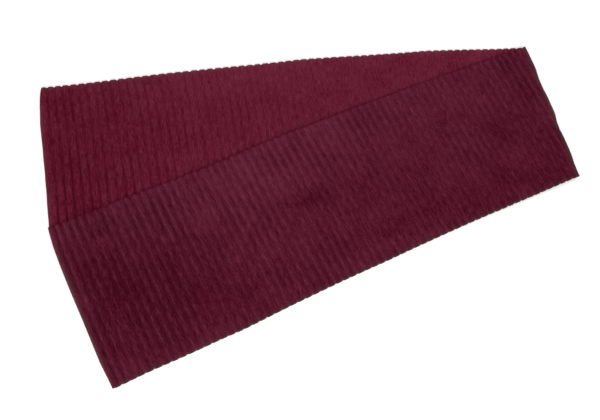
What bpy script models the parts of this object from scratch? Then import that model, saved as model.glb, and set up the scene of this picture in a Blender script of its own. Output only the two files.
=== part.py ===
"""Long pleated fleece scarf, folded once and laid flat on a surface.

The scarf is one unhemmed strip. Narrow grooves pressed across its width leave broad flat
crests on one face, and the same grooves stand up as narrow ridges on the other face. The
strip lies with its broad crests up, turns back over itself along a slanting fold line, and
lies again with its ridges up, partly on the first stretch and partly on the floor.

Three solids, 0.3 mm apart at their seams:
  lower_stretch   from the first free end to just short of the fold
  folded_end      the pleats that wrap round the fold
  upper_stretch   from the fold to the second free end

Units are metres, +Z is up, and the origin is the bottom centre of the bounding box.
"""
import bpy
import numpy as np

# ---- cloth -------------------------------------------------------------------------
WALL = 0.0017            # thickness of the fleece
SEAM_GAP = 0.0003        # between two pieces of the strip
LAYER_GAP = 0.0004       # between the two stretches where one lies on the other

# ---- the strip, opened out flat in plan --------------------------------------------
START = (-0.4477, 0.0939)     # middle of the first free end
# along: distance along the middle line; heading: direction of the middle line;
# pleat: direction square to the pleats; width: length of a pleat; pitch: pleat to pleat;
# depth: how far the crests stand above the grooves
STATION_COLUMNS = ("along", "heading", "pleat", "width", "pitch", "depth")
STATIONS = (
    (0.000, 7.8, 11.2, 0.300, 0.01417, 0.0044),
    (0.180, 9.2, 12.1, 0.297, 0.01461, 0.0042),
    (0.400, 7.7, 9.8, 0.289, 0.01412, 0.0037),
    (0.660, 4.5, 6.9, 0.282, 0.01313, 0.0033),
    (0.900, 3.9, 4.9, 0.273, 0.01275, 0.0030),
    (1.140, 2.2, 1.9, 0.283, 0.01307, 0.0030),
    (1.420, -0.6, -0.8, 0.291, 0.01380, 0.0032),
    (1.797, 1.1, -0.8, 0.298, 0.01383, 0.0036),
)

# ---- one pleat, from one groove to the next ----------------------------------------
PLEAT_COLUMNS = ("share", "rise")        # share of the pitch, share of the depth
PLEAT = (
    (0.00, 0.0),
    (0.18, 0.0),
    (0.31, 1.0),
    (0.87, 1.0),
)

# ---- the fold ----------------------------------------------------------------------
FOLD_POINT = (0.4460, 0.2025)    # a point of the fold line
FOLD_HEADING = 12.9              # direction square to the fold line
TURN_AXIS = 0.0060               # height of the axis that the cloth turns about
TURN_RADIUS = 0.0032             # radius on which the cloth keeps its length
SETTLE = 0.090                   # run over which the stretch sinks to rest past the turn
TURN_PLEATS = (-2, 3)            # pleats of the folded end, counted from the fold
TURN_STEP = 0.0021               # longest step along a pleat's profile in the folded end
TURN_ROWS = 18                   # rows of facets across the folded end

# ---- how the upper stretch comes down beside the lower one --------------------------
LEAN = 0.110                     # run from the lower stretch's edge down to the floor
EDGE_MARGIN = 0.004              # the cloth stays level this far past that edge
LEAN_ROWS = (0.0, 0.45, 1.0)     # shares of the lean where the facets bend
ROW_SPACE = 0.04                 # least share of the width between two bends

COLOURS = {
    "lower_stretch": (0.098, 0.0105, 0.024, 1.0),
    "folded_end": (0.084, 0.0092, 0.021, 1.0),
    "upper_stretch": (0.088, 0.0095, 0.022, 1.0),
}


def column(name):
    """One column of the station table as an array."""
    return np.array([row[STATION_COLUMNS.index(name)] for row in STATIONS])


def at(name, along):
    """Value of a column at any distance along the strip, in a straight line between stations."""
    return np.interp(along, column("along"), column(name))


# The middle line is followed in fine steps: each step goes one way along its heading, and
# the pleat number grows by the step over the pitch.
STEPS = np.linspace(0.0, column("along")[-1], 3601)


def running_sum(rate):
    """Integral of a rate over the fine steps, by the trapezium rule, from zero."""
    parts = 0.5 * (rate[1:] + rate[:-1]) * np.diff(STEPS)
    return np.concatenate(([0.0], np.cumsum(parts)))


HEADINGS = np.radians(at("heading", STEPS))
MIDDLE_X = START[0] + running_sum(np.cos(HEADINGS))
MIDDLE_Y = START[1] + running_sum(np.sin(HEADINGS))
PLEAT_NUMBER = running_sum(1.0 / at("pitch", STEPS))


def plan(along, across):
    """Plan position on the opened strip; across runs from -0.5 to 0.5 along a pleat."""
    turn = np.radians(at("pleat", along))
    reach = at("width", along) * across
    x = np.interp(along, STEPS, MIDDLE_X) - np.sin(turn) * reach
    y = np.interp(along, STEPS, MIDDLE_Y) + np.cos(turn) * reach
    return x, y


FOLD_WAY = np.array([np.cos(np.radians(FOLD_HEADING)), np.sin(np.radians(FOLD_HEADING))])


def past_fold(x, y):
    """Distance of a plan position past the fold line."""
    return (x - FOLD_POINT[0]) * FOLD_WAY[0] + (y - FOLD_POINT[1]) * FOLD_WAY[1]


def ease(share):
    """Smooth step from 0 to 1, level at both ends."""
    part = np.clip(share, 0.0, 1.0)
    return part * part * (3.0 - 2.0 * part)


def lower_edge(x):
    """Near edge of the lower stretch in plan: its y, and the height of its crests there."""
    flat = STEPS < fold_along()
    edge_x, edge_y = plan(STEPS[flat], -0.5)
    crest = at("depth", STEPS[flat]) + WALL
    return np.interp(x, edge_x, edge_y), np.interp(x, edge_x, crest)


def fold_along():
    """Distance along the strip where its middle line meets the fold line."""
    return float(np.interp(0.0, past_fold(MIDDLE_X, MIDDLE_Y), STEPS))


def rest_height(x, y):
    """Height that the underside of the upper stretch rests at: on the lower one, then down."""
    edge_y, crest = lower_edge(x)
    outside = edge_y - y - EDGE_MARGIN
    return (crest + LAYER_GAP) * (1.0 - ease(outside / LEAN))


def lay(along, across, height):
    """Place a point of the cloth, given by its height above the strip's under face.

    Before the fold line it lies as it is. Round the fold it goes through half a turn about
    the axis, at the radius that its height leaves it. Past the turn it comes back mirrored
    and upside down, and it sinks over SETTLE to the height that it rests at.
    """
    x, y = plan(along, across)
    past = past_fold(x, y)
    angle = np.clip(past / TURN_RADIUS, 0.0, np.pi)
    over = np.maximum(past - np.pi * TURN_RADIUS, 0.0)
    radius = TURN_AXIS - height
    moved = np.minimum(past, 0.0) + radius * np.sin(angle) - over - past
    x = x + moved * FOLD_WAY[0]
    y = y + moved * FOLD_WAY[1]
    z = TURN_AXIS - radius * np.cos(angle)
    underside = 2.0 * TURN_AXIS - at("depth", along) - WALL
    z = z - ease(over / SETTLE) * (underside - rest_height(x, y))
    return np.stack((x, y, z), axis=-1)


def pleat_line(first, last, step=1.0):
    """Middle line of the cloth between two pleat numbers, as distances along and heights.

    The bends of each pleat are kept, and runs longer than the step are divided evenly.
    """
    shares = np.array([row[0] for row in PLEAT] + [1.0])
    rises = np.array([row[1] for row in PLEAT] + [PLEAT[0][1]])
    fine_shares = [np.array([0.0])]
    for start, end in zip(shares[:-1], shares[1:]):
        middle_pitch = np.interp(0.5 * (first + last), PLEAT_NUMBER, at("pitch", STEPS))
        count = int(np.ceil((end - start) * middle_pitch / step))
        fine_shares.append(np.linspace(start, end, count + 1)[1:])
    fine_shares = np.concatenate(fine_shares)[:-1]
    whole = np.arange(np.floor(first), np.ceil(last) + 1.0)
    numbers = (whole[:, None] + fine_shares[None, :]).ravel()
    inside = (numbers > first + 0.02) & (numbers < last - 0.02)
    numbers = np.concatenate(([first], numbers[inside], [last]))
    along = np.interp(numbers, PLEAT_NUMBER, STEPS)
    rise = np.interp(np.mod(numbers, 1.0), shares, rises)
    return along, 0.5 * WALL + rise * at("depth", along)


def wall_sides(along, height):
    """Both faces of the wall: the middle line moved half the wall to each side, mitred."""
    tangent = np.stack((np.diff(along), np.diff(height)), axis=-1)
    tangent /= np.linalg.norm(tangent, axis=1)[:, None]
    normal = np.stack((-tangent[:, 1], tangent[:, 0]), axis=-1)
    before = np.concatenate((normal[:1], normal))
    after = np.concatenate((normal, normal[-1:]))
    mitre = before + after
    mitre /= np.sum(mitre * before, axis=1)[:, None]
    line = np.stack((along, height), axis=-1)
    return line + 0.5 * WALL * mitre, line - 0.5 * WALL * mitre


def even_rows(along, count):
    """The same even rows across at every distance along."""
    return np.tile(np.linspace(-0.5, 0.5, count + 1), (len(along), 1))


def leaning_rows(along):
    """Rows across the upper stretch that bend where it leaves the lower one and lands."""
    tries = np.linspace(0.5, -0.5, 101)
    x, y, z = np.moveaxis(lay(along[:, None], tries[None, :], 0.0), -1, 0)
    outside = (lower_edge(x)[0] - y - EDGE_MARGIN) / LEAN
    rows = [np.full(len(along), 0.5)]
    for place, share in enumerate(LEAN_ROWS):
        row = np.array([np.interp(share, line, tries) for line in outside])
        highest = 0.5 - ROW_SPACE * (place + 1)
        lowest = -0.5 + ROW_SPACE * (len(LEAN_ROWS) - place)
        rows.append(np.clip(row, lowest, highest))
    rows.append(np.full(len(along), -0.5))
    return np.stack(rows[::-1], axis=1)


def shell(name, along, height, rows):
    """Closed wall: a grid for each face, joined along its four edges."""
    upper_side, lower_side = wall_sides(along, height)
    faces_up = lay(upper_side[:, :1], rows, upper_side[:, 1:])
    faces_down = lay(lower_side[:, :1], rows, lower_side[:, 1:])
    count_along, count_across = rows.shape
    points = np.concatenate((faces_up.reshape(-1, 3), faces_down.reshape(-1, 3)))
    top = np.arange(count_along * count_across).reshape(count_along, count_across)
    under = top + top.size
    quads = [grid_quads(top), grid_quads(under)[:, ::-1]]
    rim_top = np.concatenate((top[:-1, 0], top[-1, :-1], top[:0:-1, -1], top[0, :0:-1]))
    rim_under = rim_top + top.size
    next_top = np.roll(rim_top, -1)
    next_under = np.roll(rim_under, -1)
    quads.append(np.stack((rim_top, rim_under, next_under, next_top), axis=-1))
    mesh = bpy.data.meshes.new(name)
    mesh.from_pydata(points.tolist(), [], np.concatenate(quads).tolist())
    mesh.validate()
    part = bpy.data.objects.new(name, mesh)
    bpy.context.scene.collection.objects.link(part)
    part.data.materials.append(fleece(name))
    return part


def grid_quads(index):
    """Four corners of every cell of a grid of point numbers, anticlockwise from above."""
    cells = (index[:-1, :-1], index[1:, :-1], index[1:, 1:], index[:-1, 1:])
    return np.stack([cell.ravel() for cell in cells], axis=-1)


def fleece(name):
    """Dull burgundy fleece."""
    material = bpy.data.materials.new(name + "_fleece")
    material.use_nodes = True
    surface = material.node_tree.nodes["Principled BSDF"]
    surface.inputs["Base Color"].default_value = COLOURS[name]
    surface.inputs["Roughness"].default_value = 0.95
    surface.inputs["Metallic"].default_value = 0.0
    return material


def centre_on_floor(parts):
    """Move every point so that the bounding box stands centred on the origin."""
    stacks = []
    for part in parts:
        points = np.empty(len(part.data.vertices) * 3)
        part.data.vertices.foreach_get("co", points)
        stacks.append(points.reshape(-1, 3))
    everything = np.concatenate(stacks)
    low, high = everything.min(axis=0), everything.max(axis=0)
    shift = np.array([-0.5 * (low[0] + high[0]), -0.5 * (low[1] + high[1]), -low[2]])
    for part, points in zip(parts, stacks):
        part.data.vertices.foreach_set("co", (points + shift).ravel())
        part.data.update()
    return shift


for old in list(bpy.data.objects):
    bpy.data.objects.remove(old, do_unlink=True)

groove = 0.5 * PLEAT[1][0]
crest = 0.5 * (PLEAT[2][0] + PLEAT[3][0])
fold_pleat = np.floor(np.interp(fold_along(), STEPS, PLEAT_NUMBER))
last_pleat = PLEAT_NUMBER[-1]
trim = 0.5 * SEAM_GAP / at("pitch", fold_along())
seam_low = fold_pleat + TURN_PLEATS[0] + groove
seam_high = fold_pleat + TURN_PLEATS[1] + crest

along, height = pleat_line(groove, seam_low - trim)
lower = shell("lower_stretch", along, height, even_rows(along, 1))
along, height = pleat_line(seam_low + trim, seam_high - trim, TURN_STEP)
turned = shell("folded_end", along, height, even_rows(along, TURN_ROWS))
along, height = pleat_line(seam_high + trim, last_pleat)
upper = shell("upper_stretch", along, height, leaning_rows(along))
shift = centre_on_floor((lower, turned, upper))
print("moved by", np.round(shift * 1000, 3), "mm")
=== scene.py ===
# %% [markdown]
# # A pleated fleece scarf, folded once and laid flat
#
# The real thing is one long strip of burgundy fleece. Narrow grooves are pressed across it,
# about one every 14 mm, so that one face shows broad rounded crests and the other shows the
# same grooves as narrow standing ridges. The strip lies on a table with its crests up, turns
# back over itself at a slanting fold, and lies again with its ridges up.
#
# The solids of the frame already hold the scarf's outline, its layers and its pleats. This
# file gives each of them the cloth itself: thin shells with soft, uneven pleats, a nap, and
# two slightly different faces.

# %% Load the frame
import bpy
import numpy as np
from mathutils import Euler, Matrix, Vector


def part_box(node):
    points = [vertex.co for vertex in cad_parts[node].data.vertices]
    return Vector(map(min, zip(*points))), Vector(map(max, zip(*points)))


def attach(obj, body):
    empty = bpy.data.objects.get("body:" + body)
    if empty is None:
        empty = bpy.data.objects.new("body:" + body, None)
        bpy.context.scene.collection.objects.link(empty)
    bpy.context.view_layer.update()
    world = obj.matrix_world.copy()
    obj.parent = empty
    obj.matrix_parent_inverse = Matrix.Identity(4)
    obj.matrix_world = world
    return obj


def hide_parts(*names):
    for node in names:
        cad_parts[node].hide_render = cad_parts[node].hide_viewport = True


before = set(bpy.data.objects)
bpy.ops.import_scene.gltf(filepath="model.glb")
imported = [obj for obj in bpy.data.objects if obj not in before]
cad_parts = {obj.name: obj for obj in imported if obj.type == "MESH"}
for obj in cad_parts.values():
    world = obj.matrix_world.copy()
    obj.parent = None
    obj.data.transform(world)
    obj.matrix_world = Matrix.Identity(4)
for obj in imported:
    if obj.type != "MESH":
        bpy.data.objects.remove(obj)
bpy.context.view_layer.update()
MM = 0.001

# %% [markdown]
# ## The strip, opened out
#
# The real strip is a plain ribbon, cut straight. It could be drawn where it lies, layer by
# layer, but then every pleat has to be followed round the fold by hand. Opened out it is
# easy to draw: a ribbon with a slightly bent middle line. So a short table gives, at a few
# stations along it, which way the middle line heads, how the pleats are turned, how wide the
# ribbon is, and the pitch and the depth of the pleats. Everything between two stations is
# read off in a straight line.

# %% Stations along the strip
# along, width, pitch and depth are in metres, heading and pleat in degrees
COLUMNS = ("along", "heading", "pleat", "width", "pitch", "depth")
STATIONS = (
    (0.000, 7.8, 11.2, 0.300, 0.01417, 0.0044),
    (0.180, 9.2, 12.1, 0.297, 0.01461, 0.0042),
    (0.400, 7.7, 9.8, 0.289, 0.01412, 0.0037),
    (0.660, 4.5, 6.9, 0.282, 0.01313, 0.0033),
    (0.900, 3.9, 4.9, 0.273, 0.01275, 0.0030),
    (1.140, 2.2, 1.9, 0.283, 0.01307, 0.0030),
    (1.420, -0.6, -0.8, 0.291, 0.01380, 0.0032),
    (1.797, 1.1, -0.8, 0.298, 0.01383, 0.0036),
)


def table(columns, rows):
    """Columns of a short table, by name."""
    return dict(zip(columns, np.array(rows).T))


STATION = table(COLUMNS, STATIONS)


def at(name, along):
    """Value of a column at any distance along, in a straight line between stations."""
    return np.interp(along, STATION["along"], STATION[name])


print("pleats at 0.5 m are", round(at("pitch", 0.5) / MM, 1), "mm apart and",
      round(at("depth", 0.5) / MM, 1), "mm deep")

# %% [markdown]
# ### Middle line and plan
#
# The middle line is the sum of many small steps, each along its own heading. The same sum
# with one over the pitch counts the pleats. A point of the ribbon is then named by how far
# along it is and how far across, and its place on the table follows from the two.

# %% Middle line, pleat numbers and plan
START = (-0.4477, 0.0939)
SPARE = 4 * MM          # the middle line runs on a little, for where the last cut edge bulges
LENGTH = STATION["along"][-1]
STEPS = np.linspace(0.0, LENGTH + SPARE, 3601)  # about half a millimetre apart


def running_sum(steps, rate):
    """Integral of a rate over the steps by the trapezium rule, starting from zero."""
    parts = 0.5 * (rate[1:] + rate[:-1]) * np.diff(steps)
    return np.concatenate(([0.0], np.cumsum(parts)))


HEADINGS = np.radians(at("heading", STEPS))
MIDDLE_X = START[0] + running_sum(STEPS, np.cos(HEADINGS))
MIDDLE_Y = START[1] + running_sum(STEPS, np.sin(HEADINGS))
NUMBERS = running_sum(STEPS, 1.0 / at("pitch", STEPS))
PLEATS = float(np.interp(LENGTH, STEPS, NUMBERS))


def plan(along, across):
    """Plan position: the middle line, plus the width times across (-0.5 to 0.5) along a pleat."""
    turn = np.radians(at("pleat", along))
    reach = at("width", along) * across
    x = np.interp(along, STEPS, MIDDLE_X) - np.sin(turn) * reach
    y = np.interp(along, STEPS, MIDDLE_Y) + np.cos(turn) * reach
    return x, y


print("pleats in all:", round(PLEATS, 1))

# %% Where the strip lies
# The solid of the first stretch tells: its free end, cut along the first groove, reaches the
# low sides of its box with its two corners.
GROOVE = 0.09           # where in each pleat its groove lies
CREST = 0.59            # and its crest
free_end = np.interp(GROOVE, NUMBERS, STEPS)
low_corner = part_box("lower_stretch")[0]
SHIFT = (low_corner[0] - plan(free_end, 0.5)[0], low_corner[1] - plan(free_end, -0.5)[1])
print("strip moved by", np.round(np.array(SHIFT) / MM, 2), "mm to lie on the solids")

# %% [markdown]
# ## Folding it
#
# The real strip was turned back over itself by hand. A cloth simulation could do the same,
# but it would have to be coaxed until the fold lies right, and it would smear the pleats. A
# formula keeps them whole and gives the same fold each time. It needs a fold line, and a
# height for whatever the second stretch comes to rest on: the crests of the first stretch,
# and beside them the table.

# %% Fold line
FOLD_POINT = (0.4460, 0.2025)
FOLD_HEADING = np.radians(12.9)
FOLD_WAY = (np.cos(FOLD_HEADING), np.sin(FOLD_HEADING))


def past_fold(x, y):
    """Distance of a plan position past the fold line."""
    return (x - FOLD_POINT[0]) * FOLD_WAY[0] + (y - FOLD_POINT[1]) * FOLD_WAY[1]


FOLD_ALONG = float(np.interp(0.0, past_fold(MIDDLE_X, MIDDLE_Y), STEPS))
print("the middle line meets the fold", round(FOLD_ALONG, 3), "m along the strip")

# %% What the second stretch rests on
SOLID_WALL = 1.7 * MM   # wall of the solids, which set the height of each layer
LAYER_GAP = 0.4 * MM
EDGE_MARGIN = 4 * MM    # the second stretch keeps its height a little past the first one's edge
LEAN = 110 * MM         # and comes down to the table over this distance


def ease(share):
    """Smooth step from 0 to 1: three times the square less twice the cube."""
    part = np.clip(share, 0.0, 1.0)
    return part * part * (3.0 - 2.0 * part)


FIRST = STEPS < FOLD_ALONG
LOWER_EDGE_X, LOWER_EDGE_Y = plan(STEPS[FIRST], -0.5)
LOWER_CREST = at("depth", STEPS[FIRST]) + SOLID_WALL


def rest_height(x, y):
    """Height of the second stretch's underside.

    The first stretch's crests and the gap, eased down to the table past the first one's edge.
    """
    outside = np.interp(x, LOWER_EDGE_X, LOWER_EDGE_Y) - y - EDGE_MARGIN
    crest = np.interp(x, LOWER_EDGE_X, LOWER_CREST)
    return (crest + LAYER_GAP) * (1.0 - ease(outside / LEAN))


print("crests of the first stretch:", round(LOWER_CREST.min() / MM, 1), "to",
      round(LOWER_CREST.max() / MM, 1), "mm high")

# %% [markdown]
# ### Half a turn
#
# Every point has a height above the strip's under face. Before the fold line it just lies
# there. Round the fold it makes half a turn about an axis that lies 6 mm above the table, at
# the radius that its height leaves it, which is why the fold's outline is wavy: grooves and
# crests turn at different radii, and they cross the fold at a slant. After the turn the cloth
# comes back mirrored and upside down, and sinks until it rests. A real fold is also fuller in
# some places than in others, so a table of swells says how full the turn is along it.

# %% Lay the strip
TURN_AXIS = 6.0 * MM
TURN_RADIUS = 3.2 * MM
SETTLE = 90 * MM        # distance past the fold over which the cloth sinks to rest
# across: place along the fold; share: how full the turn is there, beside an even one
SWELL_COLUMNS = ("across", "share")
SWELLS = (
    (-0.36, 1.00),
    (-0.28, 0.75),
    (-0.17, 0.62),
    (-0.11, 0.95),
    (-0.06, 1.35),
    (-0.03, 1.40),
    (0.04, 1.05),
    (0.28, 1.00),
    (0.36, 0.75),
    (0.45, 0.62),
)
SWELL = table(SWELL_COLUMNS, SWELLS)


def lay(along, across, height):
    """Place points of the cloth: plan, half a turn about the fold's axis, then sink to rest."""
    x, y = plan(along, across)
    past = past_fold(x, y)
    angle = np.clip(past / TURN_RADIUS, 0.0, np.pi)
    over = np.maximum(past - np.pi * TURN_RADIUS, 0.0)
    radius = TURN_AXIS - height
    full = np.interp(across, SWELL["across"], SWELL["share"])
    moved = np.minimum(past, 0.0) + radius * np.sin(angle) * full - over - past
    x = x + moved * FOLD_WAY[0]
    y = y + moved * FOLD_WAY[1]
    z = TURN_AXIS - radius * np.cos(angle)
    underside = 2.0 * TURN_AXIS - at("depth", along) - SOLID_WALL
    z = z - ease(over / SETTLE) * (underside - rest_height(x, y))
    return np.stack((x + SHIFT[0], y + SHIFT[1], z), axis=-1)


for end in (0.0, LENGTH):
    print("free end at", np.round(lay(end, 0.0, 0.0) / MM, 1), "mm")

# %% [markdown]
# ## Soft, uneven pleats
#
# Pressed pleats are never all alike. Each one wanders a little, fades and comes back along
# its length, and relaxes where the cloth has been handled. They could be sculpted, or pushed
# out of a flat mesh by a noise texture, but a height worked out for every point is as soft
# as sculpting and needs only a few numbers. Random numbers on a lattice, with an eased mix
# between them, give values that change slowly along a pleat and freely from one pleat to the
# next. The seeds are fixed, so the scarf is the same each time.

# %% Slow random change
LATTICE = (512, 64)
MIDDLE_COLUMN = 9.0     # column of the lattice that lies on the strip's middle line


def soft_noise(u, v, seed):
    """Smooth values from -1 to 1: random lattice values, mixed with eased shares of u and v."""
    lattice = np.random.default_rng(seed).uniform(-1.0, 1.0, LATTICE)
    row, column = np.floor(u).astype(int), np.floor(v).astype(int)
    down, right = ease(u - row), ease(v - column)
    row, next_row = row % LATTICE[0], (row + 1) % LATTICE[0]
    column, next_column = column % LATTICE[1], (column + 1) % LATTICE[1]
    near = lattice[row, column] * (1 - right) + lattice[row, next_column] * right
    far = lattice[next_row, column] * (1 - right) + lattice[next_row, next_column] * right
    return near * (1 - down) + far * down


sample = soft_noise(np.arange(4.0), np.full(4, MIDDLE_COLUMN), seed=3)
print("random values at four points of the lattice:", np.round(sample, 2))

# %% Profile of a pleat
LAND = 0.015            # half the flat bottom of a groove, as a share of the pitch
FLANK = 0.27            # from there up to the crest
CROWN = 0.10            # how much a crest is domed
LINE_REACH = 0.16       # half the width of the shallow line along a crest


def crest_share(number, line):
    """Profile of a pleat: 0 in the groove, 1 on the crest.

    A cosine flank on each side of the groove, times a slightly domed crown with a shallow
    line along its middle.
    """
    off = np.abs(np.mod(number - GROOVE + 0.5, 1.0) - 0.5)
    flank = 0.5 - 0.5 * np.cos(np.pi * np.clip((off - LAND) / FLANK, 0.0, 1.0))
    crown = 1.0 - CROWN * ((0.5 - off) / 0.5) ** 2
    hollow = 0.5 + 0.5 * np.cos(np.pi * np.clip((0.5 - off) / LINE_REACH, 0.0, 1.0))
    return flank * crown - line * hollow


quarters = GROOVE + np.array((0.0, 0.125, 0.25, 0.375, 0.5))
print("profile from groove to crest:", np.round(crest_share(quarters, 0.0), 2))

# %% [markdown]
# ### Where the pleats have relaxed
#
# The pleats stand best at the free ends and along the cut edges, and have nearly gone in the
# middle of the first stretch. A table says how much of their depth is left, and two slow
# random changes, one of them in dashes along each pleat, break it up.

# %% Relief of the pleats
EDGE_REACH = 11 * MM    # how far in from a long edge the pleats keep the depth of the edge
UNEVEN = 0.36           # how much the depth varies from place to place, and from pleat to pleat
PATCH_REACH = 50 * MM   # reach of a place where it's deeper or shallower
DASH_REACH = 22 * MM    # and of a dash along one pleat
LINE_CHANGES = 9.0      # how often the line along a crest comes and goes over the width
LEAST = 0.05            # share of the depth that is always left

# along: place along the strip; middle, far, near: share of the depth that is left in the
# middle and at the two long edges; line: depth of a second, shallow line along each crest;
# sink: how far the crests sink where the pleats have relaxed
LOOK_COLUMNS = ("along", "middle", "far", "near", "line", "sink")
LOOKS = (
    (0.00, 0.75, 0.95, 0.90, 0.00, 0.3),
    (0.18, 0.56, 0.58, 0.85, 0.00, 0.3),
    (0.40, 0.42, 0.95, 0.80, 0.00, 0.3),
    (0.55, 0.16, 0.85, 0.80, 0.00, 0.3),
    (0.84, 0.08, 0.85, 0.80, 0.00, 0.2),
    (0.90, 0.80, 0.95, 0.95, 0.10, 0.0),
    (0.98, 0.44, 0.42, 0.95, 0.25, 0.0),
    (1.14, 0.48, 0.40, 0.95, 0.35, 0.0),
    (1.30, 0.58, 0.45, 0.95, 0.20, 0.0),
    (1.42, 0.62, 0.58, 0.95, 0.15, 0.0),
    (1.60, 0.78, 0.95, 0.90, 0.10, 0.0),
    (1.80, 1.15, 1.00, 0.90, 0.10, 0.0),
)
LOOK = table(LOOK_COLUMNS, LOOKS)


def look(name, along):
    """Value of a column of the looks at any distance along the strip."""
    return np.interp(along, LOOK["along"], LOOK[name])


def relief(number, along, across):
    """Share of the pleats' depth that is left: the middle's, more at the edges, uneven."""
    width = at("width", along)
    edge = np.exp(-(0.5 - np.abs(across)) * width / EDGE_REACH)
    left = look("middle", along) * (1.0 - edge)
    left = left + np.where(across > 0.0, look("far", along), look("near", along)) * edge
    patch = soft_noise(along / PATCH_REACH, across * width / PATCH_REACH + MIDDLE_COLUMN, seed=3)
    dashes = soft_noise(number - GROOVE, across * width / DASH_REACH + MIDDLE_COLUMN, seed=4)
    return np.clip(left * (1.0 + UNEVEN * (patch + dashes)), LEAST, 1.0)


def cloth_height(number, along, across):
    """Height of the cloth's middle above the strip's under face.

    Half the wall, plus the depth, less what the crests sink, less what the grooves fall.
    """
    left = relief(number, along, across)
    lines = soft_noise(number, across * LINE_CHANGES + MIDDLE_COLUMN, seed=5)
    line = look("line", along) * (1.0 + 0.5 * lines)
    crest = at("depth", along) * (1.0 - look("sink", along) * (1.0 - left))
    return 0.5 * SOLID_WALL + crest * (1.0 - left * (1.0 - crest_share(number, line)))


print("depth left in the middle of the first stretch:",
      np.round(look("middle", np.array((0.0, 0.4, 0.8))), 2), "at 0, 0.4 and 0.8 m")

# %% [markdown]
# ### Pleats that stray
#
# A pleat doesn't run quite straight across either. It sways a little at random, it may have
# slipped sideways as a whole, and on the first stretch it bends away near the far edge. The
# table gives slip and bend for some pleats, and the ones between them follow.

# %% Stray pleats
SWAY = 0.06             # how far a pleat sways at random, in shares of the pitch
SWAY_CHANGES = (0.7, 5.0)  # how often the sway changes, per pleat and over the width
# number: pleat; slip: how far it has shifted sideways, in shares of the pitch; bend: how far
# it bends away from its far end; reach: how soon, in shares of the width
STRAY_COLUMNS = ("number", "slip", "bend", "reach")
STRAYS = (
    (0.0, -0.03, 0.20, 0.20),
    (6.0, 0.02, 0.24, 0.14),
    (10.0, 0.06, 0.29, 0.09),
    (16.0, 0.10, 0.28, 0.05),
    (24.0, 0.06, 0.26, 0.06),
    (32.0, 0.07, 0.23, 0.04),
    (42.0, 0.06, 0.24, 0.06),
    (52.0, 0.07, 0.12, 0.10),
    (60.0, 0.00, 0.00, 0.10),
    (68.0, -0.12, 0.00, 0.10),
    (84.0, -0.12, 0.00, 0.10),
    (92.0, -0.06, 0.00, 0.10),
    (103.0, -0.08, 0.00, 0.10),
    (111.0, -0.03, 0.00, 0.10),
    (120.0, -0.09, 0.00, 0.10),
    (132.0, -0.09, 0.00, 0.10),
)
STRAY = table(STRAY_COLUMNS, STRAYS)


def wander(number, across):
    """How far a pleat strays sideways, in shares of the pitch.

    A slow random sway, the slip, and a bend that dies away towards the far edge.
    """
    per_pleat, over_width = SWAY_CHANGES
    sway = SWAY * soft_noise(number * per_pleat, across * over_width + MIDDLE_COLUMN, seed=6)
    slip, bend, reach = (np.interp(number, STRAY["number"], STRAY[name])
                         for name in ("slip", "bend", "reach"))
    return sway + slip + bend * (1.0 - np.exp(-(0.5 - across) / reach))


places = np.array((0.5, 0.4, 0.0, -0.5))
print("pleat 16 strays by", np.round(wander(np.full(4, 16.0), places), 2), "of the pitch")

# %% [markdown]
# ## Cut edges
#
# Fleece doesn't fray, so its edges are simply cut. They were cut straight, but the cloth has
# been pulled about since: the free ends bulge by a few millimetres and hang back at their
# corners, and the long edges come in here and there, and a little more at each groove. This
# could be done by pushing points about by hand. Two tables of offsets keep it in a few lines,
# and squared ramps let the cloth behind the edge follow.

# %% Free ends
END_REACH = 4.0         # pleats over which the bulge of a free end dies away
# across: place along the free end; first, last: how far each of the two ends bulges there
END_COLUMNS = ("across", "first", "last")
FREE_ENDS = (
    (-0.50, -2.0 * MM, -2.8 * MM),
    (-0.46, -0.8 * MM, -2.4 * MM),
    (-0.35, -0.3 * MM, 0.1 * MM),
    (-0.10, -0.3 * MM, 0.3 * MM),
    (0.10, 0.3 * MM, 1.1 * MM),
    (0.25, 1.4 * MM, 0.5 * MM),
    (0.38, -0.2 * MM, -0.8 * MM),
    (0.46, -2.8 * MM, -3.0 * MM),
    (0.50, -4.8 * MM, -4.6 * MM),
)
END = table(END_COLUMNS, FREE_ENDS)


def bulge(number, across):
    """How far the cloth strays along the strip beside its two free ends."""
    first = np.clip(1.0 - number / END_REACH, 0.0, 1.0) ** 2
    last = np.clip(1.0 - (PLEATS - number) / END_REACH, 0.0, 1.0) ** 2
    out_first = np.interp(across, END["across"], END["first"])
    out_last = np.interp(across, END["across"], END["last"])
    return last * out_last - first * out_first


print("the first end bulges by up to", END["first"].max() / MM, "mm, the last one by up to",
      END["last"].max() / MM, "mm")

# %% Long edges
DRAWN_IN = 0.3 * MM     # how far the grooves draw the long edges in
EVEN = 0.6              # height on a pleat where they neither draw it in nor let it out
INNER = 0.35            # place across from where the cloth follows its edge
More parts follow.
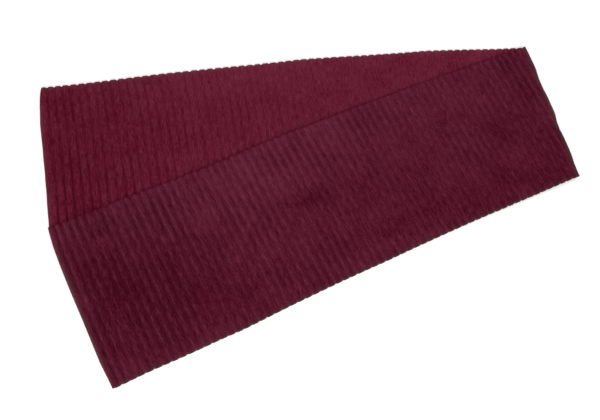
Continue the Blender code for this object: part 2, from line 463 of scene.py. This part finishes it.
# number: pleat; far, near: how far in from a straight cut the two long edges lie there
EDGE_COLUMNS = ("number", "far", "near")
LONG_EDGES = (
    (0.0, -0.4 * MM, 0.0 * MM),
    (6.0, 0.6 * MM, 0.0 * MM),
    (16.0, -0.2 * MM, 0.0 * MM),
    (27.0, 1.1 * MM, 0.0 * MM),
    (30.0, 0.9 * MM, 0.0 * MM),
    (33.0, -0.6 * MM, 0.0 * MM),
    (42.0, 1.4 * MM, 0.0 * MM),
    (47.0, 0.7 * MM, 0.0 * MM),
    (50.0, -1.1 * MM, 0.0 * MM),
    (55.0, 0.2 * MM, 0.0 * MM),
    (60.0, 2.2 * MM, 0.0 * MM),
    (68.0, 2.0 * MM, -1.3 * MM),
    (74.0, 2.0 * MM, -1.4 * MM),
    (80.0, 2.8 * MM, -0.9 * MM),
    (84.0, 3.7 * MM, 0.0 * MM),
    (91.0, 3.7 * MM, -0.2 * MM),
    (97.0, 2.5 * MM, -0.6 * MM),
    (104.0, 1.6 * MM, 1.2 * MM),
    (110.0, 2.9 * MM, 1.4 * MM),
    (116.0, 1.8 * MM, -0.7 * MM),
    (119.0, 0.6 * MM, 0.3 * MM),
    (123.0, -0.4 * MM, 0.4 * MM),
    (128.0, 0.4 * MM, 1.5 * MM),
    (132.0, -0.8 * MM, 0.0 * MM),
)
LONG_EDGE = table(EDGE_COLUMNS, LONG_EDGES)


def drawn_in(number, across, width):
    """Places across the strip, with both long edges drawn in unevenly, more so at each groove."""
    far = np.clip((across - INNER) / (0.5 - INNER), 0.0, 1.0) ** 2
    near = np.clip((-across - INNER) / (0.5 - INNER), 0.0, 1.0) ** 2
    far_in = np.interp(number, LONG_EDGE["number"], LONG_EDGE["far"])
    near_in = np.interp(number, LONG_EDGE["number"], LONG_EDGE["near"])
    ridge = DRAWN_IN * (EVEN - crest_share(number, 0.0))
    return across + (near * (near_in + ridge) - far * (far_in + ridge)) / width


print("the far edge comes in by up to", LONG_EDGE["far"].max() / MM, "mm, the near one by up to",
      LONG_EDGE["near"].max() / MM, "mm")

# %% [markdown]
# ## From a surface to cloth
#
# Cloth has a thickness, so each stretch is a closed shell. A Solidify modifier could thicken
# a surface, but the cut edge of fleece isn't a sharp corner and its two faces differ, so the
# shell is made outright. Its middle surface is a grid of pleat numbers by places across. The
# cross product of the grid's two directions gives the way out of the cloth at every point,
# and half the wall to either side gives the two faces. A rounded rim, pushed out a little,
# joins them along the cut edges.

# %% Closed shell
WALL = 1.4 * MM
RIM = 0.45 * MM


def unit(vectors):
    """Vectors of length one."""
    return vectors / np.linalg.norm(vectors, axis=-1, keepdims=True)


def grid_quads(index):
    """Corners of every cell of a grid of point numbers."""
    cells = (index[:-1, :-1], index[1:, :-1], index[1:, 1:], index[:-1, 1:])
    return np.stack([cell.ravel() for cell in cells], axis=-1)


def border(grid):
    """Values of a grid along its border, once round."""
    return np.concatenate((grid[:-1, 0], grid[-1, :-1], grid[:0:-1, -1], grid[0, :0:-1]))


def band(ring, next_ring):
    """Quads between two closed rings of point numbers."""
    after, next_after = np.roll(ring, -1), np.roll(next_ring, -1)
    return np.stack((ring, next_ring, next_after, after), axis=-1)


def closed_shell(middle):
    """Points and quads of a shell about a grid of points: crest face, ridge face, then rim.

    Each face lies half the wall from the grid, and the rim a little outside its border.
    """
    down, right = np.gradient(middle, axis=0), np.gradient(middle, axis=1)
    out = 0.5 * WALL * unit(np.cross(down, right))
    rim_way = np.zeros_like(middle)
    rim_way[:, 0] -= unit(right[:, 0])
    rim_way[:, -1] += unit(right[:, -1])
    rim_way[0] -= unit(down[0])
    rim_way[-1] += unit(down[-1])
    faces = ((middle + out).reshape(-1, 3), (middle - out).reshape(-1, 3))
    points = np.concatenate((*faces, border(middle + RIM * rim_way)))
    count = len(faces[0])
    index = np.arange(count).reshape(middle.shape[:2])
    ring = border(index)
    ring_rim = 2 * count + np.arange(len(ring))
    quads = np.concatenate((
        grid_quads(index),
        grid_quads(index + count)[:, ::-1],
        band(ring, ring_rim),
        band(ring_rim, ring + count),
    ))
    return points, quads


flat_grid = np.stack((*np.indices((3, 3)), np.zeros((3, 3))), axis=-1)
sample = closed_shell(flat_grid)
print("a flat grid of 9 points gives", len(sample[0]), "points and", len(sample[1]), "quads")

# %% [markdown]
# ## How the nap lies
#
# Fleece is paler or deeper in colour wherever a hand has stroked its nap one way or the
# other. Hair particles could make the nap itself, but one fibre is far too fine to be seen
# from here. So every point of the cloth carries a few numbers, and the material turns them
# into tone. The first number sums up the stroked patches.

# %% Stroked patches
# middle, side: where the middle of a patch lies along and across the strip; reach_along,
# reach_across: its reach both ways, all in metres; tone: from -1 where the pile lies away from
# the eye to 1 where it faces it
PATCHES = (
    (0.05, 0.00, 0.16, 0.40, -0.26),
    (0.30, 0.02, 0.10, 0.05, -0.12),
    (0.36, 0.115, 0.16, 0.03, 0.09),
    (0.40, 0.15, 0.90, 0.03, 0.14),
    (0.54, 0.02, 0.14, 0.06, -0.08),
    (0.68, 0.10, 0.14, 0.05, -0.08),
    (0.93, 0.06, 0.035, 0.05, -0.18),
    (0.95, -0.105, 0.06, 0.04, -0.32),
    (0.99, -0.005, 0.06, 0.035, -0.36),
    (1.04, -0.09, 0.04, 0.03, -0.10),
    (1.10, -0.11, 0.12, 0.045, -0.24),
    (1.15, -0.01, 0.07, 0.06, -0.14),
    (1.28, -0.085, 0.09, 0.035, -0.22),
    (1.32, -0.02, 0.09, 0.035, -0.20),
    (1.32, 0.138, 0.18, 0.006, 0.05),
    (1.385, 0.008, 0.03, 0.02, -0.30),
    (1.39, 0.10, 0.19, 0.05, 0.26),
    (1.47, 0.03, 0.06, 0.06, 0.14),
    (1.48, -0.06, 0.04, 0.03, 0.10),
    (1.55, -0.09, 0.07, 0.04, -0.20),
    (1.59, 0.142, 0.09, 0.006, 0.12),
    (1.60, 0.12, 0.05, 0.03, 0.15),
    (1.65, -0.025, 0.12, 0.08, -0.22),
    (1.75, 0.02, 0.06, 0.12, -0.21),
    (1.77, 0.14, 0.05, 0.028, 0.24),
    (1.788, 0.00, 0.010, 0.16, 0.24),
)


def nap_lie(along, across):
    """Lie of the nap: the sum of the patches, each a bell of Gauss about its middle."""
    total = np.zeros(along.shape)
    place = across * at("width", along)
    for middle, side, reach_along, reach_across, tone in PATCHES:
        away = ((along - middle) / reach_along) ** 2 + ((place - side) / reach_across) ** 2
        total = total + tone * np.exp(-away)
    return total


print(len(PATCHES), "patches, the middle line from",
      round(nap_lie(STEPS, 0.0).min(), 2), "to", round(nap_lie(STEPS, 0.0).max(), 2))

# %% [markdown]
# ### Painted sheen and contact shade
#
# At a cut edge and round the fold the fleece is seen edge on, and its pale sheen there is
# painted into the colour as grey. Where the far edge of the second stretch lies on the first, a
# deep red painted shade stands for the shadow there, and for the light that has passed from
# layer to layer. Both could be painted on by hand, but each is only a few millimetres wide and
# follows its edge exactly, so it's worked out from the distance to the edge: it falls to about a
# third over its reach, and to a third of that over the next.

# %% Painted sheen and contact shade
EDGE_SHEEN_REACH = 2.6 * MM     # how far in from a cut edge the painted sheen reaches
FOLD_REACH = 3.6 * MM     # and how far from the outermost line of the fold
CONTACT_SHADE_REACH = 1.4 * MM  # and how far in the painted contact shade reaches where it lies on the cloth below
# how strong the painted sheen is on the two long edges, at the two free ends and round the fold
EDGE_SHEEN = {"far": 1.8, "near": 0.95, "first": 3.4, "last": 1.6, "fold": 2.5}


def edge_sheen_at(along, across):
    """Painted sheen at the cut edges and the fold, dying away from each.

    The far edge of the second stretch, which lies on the first, gets none.
    """
    width = at("width", along)
    free = np.where(along < FOLD_ALONG, EDGE_SHEEN["far"], 0.0)
    outermost = past_fold(*plan(along, across)) - 0.5 * np.pi * TURN_RADIUS
    return np.maximum.reduce((
        free * np.exp(-(0.5 - across) * width / EDGE_SHEEN_REACH),
        EDGE_SHEEN["near"] * np.exp(-(0.5 + across) * width / EDGE_SHEEN_REACH),
        EDGE_SHEEN["first"] * np.exp(-np.maximum(along, 0.0) / EDGE_SHEEN_REACH),
        EDGE_SHEEN["last"] * np.exp(-np.maximum(LENGTH - along, 0.0) / EDGE_SHEEN_REACH),
        EDGE_SHEEN["fold"] * np.exp(-np.abs(outermost) / FOLD_REACH),
    ))


def contact_shade_at(along, across):
    """Painted contact shade along the far edge of the second stretch, where it lies on the first:
    1 there, dying away.
    """
    side = (0.5 - across) * at("width", along)
    return np.where(along > FOLD_ALONG, np.exp(-side / CONTACT_SHADE_REACH), 0.0)


# painted sheen near the first end
print("open nap on the middle line, 0, 2 and 5 mm from the first end:",
      np.round(edge_sheen_at(np.array((0.0, 2.0, 5.0)) * MM, 0.0), 2))

# %% [markdown]
# ### Light in the grooves
#
# A groove looks darker than its crest, because light comes into it from above only, and this
# shade is also painted into the cloth's colour. By the free long edge of the first stretch the
# grooves gape and light comes in from the side too, so there they keep little of their shade.
# The ridges of the second stretch lose less of it.

# %% Light in the grooves
FAR_LIGHT = 0.90        # share of their shade that the grooves lose at the strip's far edge
NEAR_LIGHT = 0.15       # and at its near edge
LIGHT_REACH = 32 * MM
VALLEY_SHADE_SHIFT = 0.04        # how far the painted valley shade is shifted off the middle between two ridges, in shares of the pitch


def shaded(along, across):
    """Share of their shade that the grooves keep: less by a free long edge, where they gape."""
    width = at("width", along)
    far = FAR_LIGHT * np.exp(-((0.5 - across) * width / LIGHT_REACH) ** 2)
    near = NEAR_LIGHT * np.exp(-((0.5 + across) * width / LIGHT_REACH) ** 2)
    return 1.0 - np.where(along < FOLD_ALONG, far, near)


def painted_groove_shade(number, along, across):
    """How much painted shade the cloth gets, on its crest face and on its ridge face.

    On the crest face it follows the depth below the crest; on the ridge face, where the grooves
    stand up as ridges, it's a cosine that is greatest half-way between two of them, shifted a
    little.
    """
    left = relief(number, along, across) * shaded(along, across)
    groove = (1.0 - crest_share(number, 0.0)) * left
    valley = (0.5 - 0.5 * np.cos(2.0 * np.pi * (number - VALLEY_SHADE_SHIFT))) * left
    return groove, valley


print("shade kept at the far edge, 0, 30 and 60 mm in:",
      np.round(shaded(0.0, 0.5 - np.array((0.0, 30.0, 60.0)) * MM / at("width", 0.0)), 2))

# %% [markdown]
# ## The three stretches
#
# The seams between the three solids are no seams of the scarf, so each shell starts where
# the one before it stops, with a hair's breadth between them, and always where a pleat hides
# it. One shell could dress all three solids, but each solid keeps its own piece.
# One function makes each stretch: the grid is laid and folded, gets its wall, and then
# carries a map of the flat cloth in metres, the numbers for its nap, and the numbers for its
# painted shade and sheen. Rows stand closer together towards the long edges, where the cloth
# changes most.

# %% A stretch of cloth
FADE = 0.5              # pleats beside a seam or an end over which the straying fades away
ROW_SPAN = np.radians(78)  # at 90 degrees the outermost rows would touch


def rows_across(count):
    """Places across the strip, closer together towards its long edges, like a sine's steps."""
    return 0.5 * np.sin(np.linspace(-1.0, 1.0, count + 1) * ROW_SPAN) / np.sin(ROW_SPAN)


def on_shell(crest_side, ridge_side):
    """Values of two grids in the order of a shell's points: crest face, ridge face, rim."""
    return np.concatenate((crest_side.ravel(), ridge_side.ravel(), border(crest_side)))


def carry(mesh, title, values):
    """Give every point of a mesh a number under a title."""
    mesh.attributes.new(title, "FLOAT", "POINT").data.foreach_set("value", values)


def cloth_shell(name, first, last, per_pleat, rows):
    """Closed shell of cloth between two pleat numbers, with its map, the lie of its nap, and its
    painted shade and sheen.
    """
    steps = int(round((last - first) * per_pleat))
    number, across = np.meshgrid(np.linspace(first, last, steps + 1), rows, indexing="ij")
    fade = ease((number - first) / FADE) * ease((last - number) / FADE)
    along = np.interp(number + wander(number, across) * fade, NUMBERS, STEPS)
    along = along + bulge(number, across)
    placed = drawn_in(number, across, at("width", along))
    points, quads = closed_shell(lay(along, placed, cloth_height(number, along, across)))
    mesh = bpy.data.meshes.new(name)
    mesh.from_pydata(points.tolist(), [], quads.tolist())
    cells = steps * (len(rows) - 1)
    side = np.zeros(len(quads), dtype=np.int32)
    side[cells:2 * cells] = 1
    mesh.polygons.foreach_set("material_index", side)
    flat = np.stack([on_shell(grid, grid) for grid in (along, across * at("width", along))],
                    axis=-1)
    mesh.uv_layers.new(name="cloth").data.foreach_set("uv", flat[quads.ravel()].ravel())
    # hollow: the painted shade in the crest face's grooves and the ridge face's valleys
    carry(mesh, "hollow", on_shell(*painted_groove_shade(number, along, across)))
    # the lie of the nap, then the painted sheen and the painted contact shade along the edges
    for title, nap in (("lie", nap_lie), ("edge_sheen", edge_sheen_at), ("contact_shade", contact_shade_at)):
        state = nap(along, across)
        carry(mesh, title, on_shell(state, state))
    mesh.shade_smooth()
    piece = bpy.data.objects.new(name, mesh)
    bpy.context.scene.collection.objects.link(piece)
    print(name, "-", len(points), "points,", 2 * len(quads), "triangles")
    return piece


row_steps = np.diff(rows_across(50)) * at("width", 0.0) / MM
print("50 rows are from", round(row_steps.min(), 1), "to", round(row_steps.max(), 1), "mm apart")

# %% Make the stretches
HAIR = 0.05 * MM
PLEATS_BEFORE = 2       # whole pleats of the folded end before the fold, and after it
PLEATS_AFTER = 3
fold_pleat = np.floor(np.interp(FOLD_ALONG, STEPS, NUMBERS))
seam_low = fold_pleat - PLEATS_BEFORE + GROOVE
seam_high = fold_pleat + PLEATS_AFTER + CREST
trim = 0.5 * HAIR / at("pitch", FOLD_ALONG)

lower = cloth_shell("lower_cloth", GROOVE, seam_low - trim,
                    per_pleat=15, rows=rows_across(50))
turned = cloth_shell("folded_cloth", seam_low + trim, seam_high - trim,
                     per_pleat=26, rows=rows_across(100))
upper = cloth_shell("upper_cloth", seam_high + trim, PLEATS,
                    per_pleat=15, rows=rows_across(48))

# %% [markdown]
# ## Fleece
#
# Polyester fleece is a knit whose loops have been brushed up and sheared into a short dense
# nap. It has no gloss. What the eye sees is a very rough surface with a faint pale bloom
# where it is seen edge on, a grain of tiny light and dark tufts, and softer clouds where the
# nap lies one way or the other. A tiled picture of fleece could give the grain, but it would
# repeat. Noise doesn't, and its sizes can be real ones.

# %% Colour and node helpers
def linear(hex_colour):
    """Linear colour of an sRGB hex value."""
    parts = np.array([int(hex_colour[i:i + 2], 16) for i in (0, 2, 4)]) / 255.0
    straight = np.where(parts <= 0.04045, parts / 12.92, ((parts + 0.055) / 1.055) ** 2.4)
    return (*straight.tolist(), 1.0)


def add_node(tree, kind, settings, inputs):
    """Add a node, set its properties, and set or link its inputs by name or number."""
    node = tree.nodes.new(kind)
    for key, value in settings.items():
        setattr(node, key, value)
    for key, value in inputs.items():
        if isinstance(value, bpy.types.NodeSocket):
            tree.links.new(value, node.inputs[key])
        else:
            node.inputs[key].default_value = value
    return node


print("mid grey 808080 in linear light:", round(linear("808080")[0], 3))

# %% [markdown]
# ### Grain
#
# Three noises make the grain. Round tufts and wide clouds are read at the place of each
# point. Dashes are read on the map of the flat cloth, drawn out along the pleats, because
# the tufts line up along them in rows.

# %% Grain of the nap
TUFT = 2.3 * MM         # tufts of nap; real ones are about 1 mm, too fine to show from here
CLOUD = 45 * MM         # soft clouds where the nap was stroked one way or the other
DASH = (1.9 * MM, 14 * MM)  # width and length of a row of tufts, drawn coarse for the same reason


def grain_of_nap(tree):
    """Tufts, clouds and dashes, each a noise from about 0.3 to 0.7."""
    place = add_node(tree, "ShaderNodeTexCoord", {}, {}).outputs["Object"]
    tuft = add_node(tree, "ShaderNodeTexNoise", {}, {
        "Vector": place, "Scale": 1 / TUFT, "Detail": 3.0, "Roughness": 0.6})
    cloud = add_node(tree, "ShaderNodeTexNoise", {}, {
        "Vector": place, "Scale": 1 / CLOUD, "Detail": 2.0, "Roughness": 0.5})
    flat = add_node(tree, "ShaderNodeUVMap", {"uv_map": "cloth"}, {}).outputs["UV"]
    rows = add_node(tree, "ShaderNodeMapping", {}, {
        "Vector": flat, "Scale": (1 / DASH[0], 1 / DASH[1], 1.0)}).outputs["Vector"]
    dash = add_node(tree, "ShaderNodeTexNoise", {}, {
        "Vector": rows, "Scale": 1.0, "Detail": 2.0})
    return tuft.outputs["Fac"], cloud.outputs["Fac"], dash.outputs["Fac"]


print("noise per metre: tufts", round(1 / TUFT), "clouds", round(1 / CLOUD),
      "dashes", round(1 / DASH[0]), "by", round(1 / DASH[1]))

# %% [markdown]
# ### Tone
#
# The grain, the clouds and the stroked patches add up to a level, which picks a tone between
# a dark and a pale one. Over it lie tones of painted light: painted shade, dark and in broken
# dashes, in the hollows; grey painted sheen where the cloth is seen edge on, at the cut edges and
# round the fold; and deep red painted shade where the second stretch lies on the first, since
# the light there has passed from layer to layer.

# %% Tone of the nap, and painted light over it
CLOUD_SHARE = 0.35      # how much the clouds count beside the tufts
LIE_SHARE = 0.60        # and the places where a hand has stroked the nap
DARKEST = 0.35          # how far below its middle the level is all dark
PALEST = 0.37           # and how far above it all pale
GROOVE_SHADE_STRENGTH = 0.80      # how dark the painted shade in a hollow is, from 0 to 1
# painted light over the nap: its attribute, how much it counts, and its tone
PAINTED_LIGHT_TONES = (
    # grey painted sheen along the cut edges and round the fold
    ("edge_sheen", 0.27, "564644"),
    # deep red painted contact shade where the second stretch lies on the first
    ("contact_shade", 0.85, "520014"),
)


def tone_of_nap(tree, grain, cloud, dark, pale):
    """Mix of a dark and a pale tone by the sum of grain, clouds and stroked patches."""
    stroked = add_node(tree, "ShaderNodeMath", {"operation": "MULTIPLY_ADD"}, {
        0: cloud, 1: CLOUD_SHARE, 2: grain})
    lie = add_node(tree, "ShaderNodeAttribute", {"attribute_name": "lie"}, {})
    both = add_node(tree, "ShaderNodeMath", {"operation": "MULTIPLY_ADD"}, {
        0: lie.outputs["Fac"], 1: LIE_SHARE, 2: stroked.outputs["Value"]})
    middle = 1.0 + 0.5 * CLOUD_SHARE
    level = add_node(tree, "ShaderNodeMapRange", {}, {
        "Value": both.outputs["Value"],
        "From Min": middle - DARKEST, "From Max": middle + PALEST})
    return add_node(tree, "ShaderNodeMix", {"data_type": "RGBA"}, {
        0: level.outputs["Result"], 6: linear(dark), 7: linear(pale)})


def tone_with_painted_light(tree, nap, dash, groove_shade_colour):
    """The nap's tone, mixed with painted shade in the hollows, and with each tone of painted
    light over it.
    """
    # painted shade in the hollows, broken into dashes
    hollow = add_node(tree, "ShaderNodeAttribute", {"attribute_name": "hollow"}, {})
    broken = add_node(tree, "ShaderNodeMapRange", {}, {
        "Value": dash, "From Min": 0.3, "From Max": 0.6, "To Min": 1.25, "To Max": 0.75})
    shade_amount = add_node(tree, "ShaderNodeMath", {"operation": "MULTIPLY"}, {
        0: hollow.outputs["Fac"], 1: broken.outputs["Result"]})
    shade_amount = add_node(tree, "ShaderNodeMath", {"operation": "MULTIPLY"}, {
        0: shade_amount.outputs["Value"], 1: GROOVE_SHADE_STRENGTH})
    colour = add_node(tree, "ShaderNodeMix", {"data_type": "RGBA"}, {
        0: shade_amount.outputs["Value"], 6: nap.outputs[2], 7: linear(groove_shade_colour)})
    # painted sheen along the edges, then painted contact shade, each mixed over the tone so far
    for title, share, tone in PAINTED_LIGHT_TONES:
        state = add_node(tree, "ShaderNodeAttribute", {"attribute_name": title}, {})
        amount = add_node(tree, "ShaderNodeMath", {"operation": "MULTIPLY"}, {
            0: state.outputs["Fac"], 1: share})
        colour = add_node(tree, "ShaderNodeMix", {"data_type": "RGBA"}, {
            0: amount.outputs["Value"], 6: colour.outputs[2], 7: linear(tone)})
    return colour


print("tones over the grain: hollow", *[title for title, share, tone in PAINTED_LIGHT_TONES])

# %% [markdown]
# ### Surface
#
# The surface is nearly as rough as can be, and the bloom is the shader's sheen. The tufts
# also stand out a little, by a bump of half a millimetre at most. Each face of the cloth gets
# a material of its own, because the one with the broad crests is a little brighter and redder
# than the one with the ridges.

# %% Brushed fleece
def brushed_fleece(name, dark, pale, groove_shade_colour, bloom):
    """Brushed and sheared polyester fleece: dead matt and grainy, with a faint pale bloom."""
    material = bpy.data.materials.new(name)
    material.use_nodes = True
    tree = material.node_tree
    tree.nodes.clear()
    tuft, cloud, dash = grain_of_nap(tree)
    grain = add_node(tree, "ShaderNodeMath", {"operation": "ADD"}, {0: tuft, 1: dash})
    nap = tone_of_nap(tree, grain.outputs["Value"], cloud, dark, pale)
    # the nap's tone, under painted shade, painted sheen and painted contact shade
    colour = tone_with_painted_light(tree, nap, dash, groove_shade_colour)
    height = add_node(tree, "ShaderNodeBump", {}, {
        "Height": grain.outputs["Value"], "Strength": 0.35, "Distance": 0.5 * MM})
    surface = add_node(tree, "ShaderNodeBsdfPrincipled", {}, {
        "Base Color": colour.outputs[2], "Normal": height.outputs["Normal"],
        "Roughness": 0.95, "IOR": 1.45, "Specular IOR Level": 0.04,
        "Sheen Weight": 0.22, "Sheen Roughness": 0.35, "Sheen Tint": linear(bloom)})
    add_node(tree, "ShaderNodeOutputMaterial", {}, {"Surface": surface.outputs["BSDF"]})
    print(name, "-", len(tree.nodes), "nodes")
    return material


# the third colour of each face is the painted shade in its grooves or valleys
crest_fleece = brushed_fleece("polyester_fleece_crest_face", dark="430116", pale="652336",
                              groove_shade_colour="480010", bloom="a8606f")
ridge_fleece = brushed_fleece("polyester_fleece_ridge_face", dark="390114", pale="5d2334",
                              groove_shade_colour="34000e", bloom="a8606f")

# %% [markdown]
# ## Dress the frame
#
# Each shell rides on the part's one body, hides the plain solid it stands for, and takes the
# two fleece materials, one for each face. Ironed flat, a shell would be about a fifth longer
# than the length it lies in.


for piece, node, first, last in (
        (lower, "lower_stretch", GROOVE, seam_low),
        (turned, "folded_end", seam_low, seam_high),
        (upper, "upper_stretch", seam_high, PLEATS)):
    piece.data.materials.append(crest_fleece)
    piece.data.materials.append(ridge_fleece)
    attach(piece, "root")
    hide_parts(node)

# %% [markdown]
# ## The studio
#
# A plain pale table top fills the view, and the light comes from all round, as in a light
# tent, with one large soft lamp low on the near side. The tent could be built of white walls,
# but a plain white world gives the same light. The camera looks down at 65 degrees with a
# 50 mm lens, from about 1.4 m away.

# %% Table top
FLOOR_HALF = 6.0
FLOOR_DROP = 0.2 * MM   # the table top is a hair below the cloth, so that they don't flicker


def plain_matt(name, colour):
    """Matt painted board: no gloss, one even colour."""
    material = bpy.data.materials.new(name)
    material.use_nodes = True
    surface = material.node_tree.nodes["Principled BSDF"]
    surface.inputs["Base Color"].default_value = linear(colour)
    surface.inputs["Roughness"].default_value = 0.9
    return material


floor_mesh = bpy.data.meshes.new("table_top")
corners = [(x * FLOOR_HALF, y * FLOOR_HALF, 0.0) for x, y in ((-1, -1), (1, -1), (1, 1), (-1, 1))]
floor_mesh.from_pydata(corners, [], [(0, 1, 2, 3)])
floor_mesh.materials.append(plain_matt("matt_white_board", "f4f3f2"))
floor = bpy.data.objects.new("table_top", floor_mesh)
floor.location.z = -FLOOR_DROP
bpy.context.scene.collection.objects.link(floor)
print("table top:", 2 * FLOOR_HALF, "m square")

# %% Light
world = bpy.data.worlds.new("light_tent")
world.use_nodes = True
world.node_tree.nodes["Background"].inputs["Color"].default_value = (1.0, 1.0, 1.0, 1.0)
world.node_tree.nodes["Background"].inputs["Strength"].default_value = 1.0
bpy.context.scene.world = world


def soft_lamp(name, place, size, watts):
    """Square area lamp that faces the middle of the scarf."""
    light = bpy.data.lights.new(name, "AREA")
    light.size = size
    light.energy = watts
    lamp = bpy.data.objects.new(name, light)
    lamp.location = place
    lamp.rotation_euler = (-Vector(place)).to_track_quat("-Z", "Y").to_euler()
    bpy.context.scene.collection.objects.link(lamp)
    return lamp


softbox = soft_lamp("low_softbox", place=(0.6, -2.6, 2.0), size=1.6, watts=85.0)
print(softbox.name, "is", round(softbox.location.length, 2), "m from the scarf")

# %% Camera
VIEW_DOWN = np.radians(65.0)
VIEW_AWAY = 1.4143
view_point = np.array((SHIFT[0], SHIFT[1] - VIEW_AWAY * np.cos(VIEW_DOWN),
                       VIEW_AWAY * np.sin(VIEW_DOWN)))
camera_data = bpy.data.cameras.new("camera")
camera_data.lens = 50.0
camera_data.sensor_width = 36.0
camera = bpy.data.objects.new("camera", camera_data)
camera.location = view_point
camera.rotation_euler = Euler((np.radians(90.0) - VIEW_DOWN, 0.0, 0.0))
bpy.context.scene.collection.objects.link(camera)
bpy.context.scene.camera = camera
bpy.context.scene.view_settings.view_transform = "Standard"
print("camera at", np.round(view_point, 3), "m")

# %% [markdown]
# ## The end

# %% Finish
bpy.context.view_layer.update()
